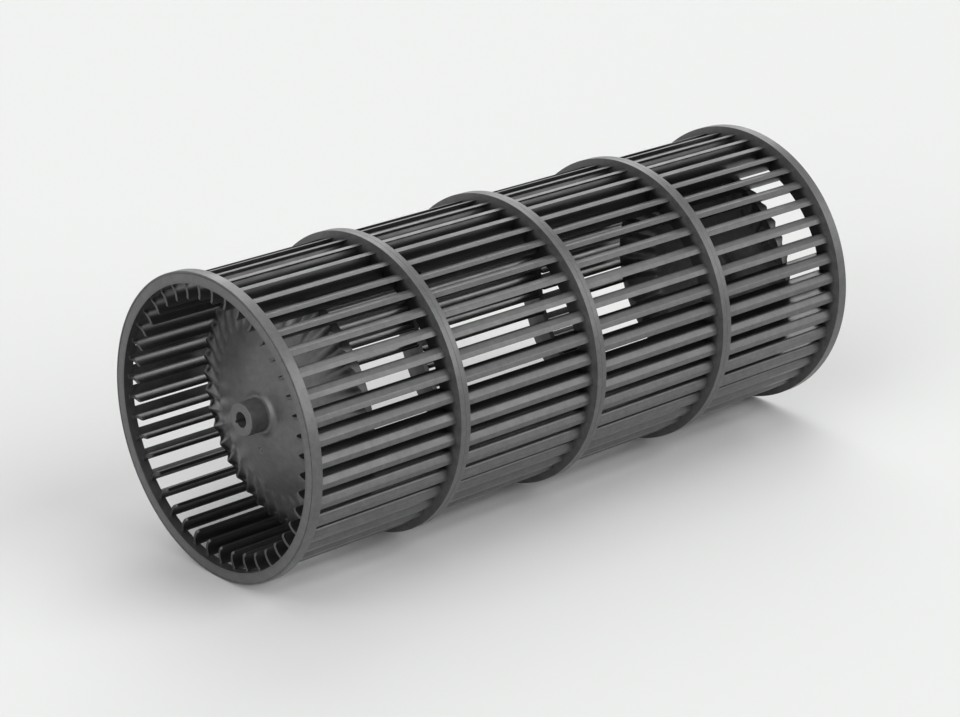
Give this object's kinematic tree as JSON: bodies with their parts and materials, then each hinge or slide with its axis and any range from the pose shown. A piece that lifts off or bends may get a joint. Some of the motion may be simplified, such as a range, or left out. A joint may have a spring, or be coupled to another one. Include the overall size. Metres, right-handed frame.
{
  "type": "blower wheel",
  "caption": "Long squirrel-cage blower wheel: curved blades run between rings, with a dished hub disc and bored boss near each end.",
  "frame": {"origin": "middle of the rear ring's face, which the wheel stands on", "axes": "+Z along the axle line, from the rear ring up to the open front end; +X to the right as the front end is seen in the picture"},
  "size_m": [0.16, 0.16, 0.383],
  "materials": {
    "front_hub_plastic": "satin moulded black plastic",
    "second_plastic": "satin moulded black plastic",
    "third_plastic": "satin moulded black plastic",
    "rear_hub_plastic": "satin moulded black plastic"
  },
  "bodies": {
    "root": {"front_hub_section": "front_hub_plastic", "second_section": "second_plastic", "third_section": "third_plastic", "rear_hub_section": "rear_hub_plastic"}
  },
  "joints": []
}
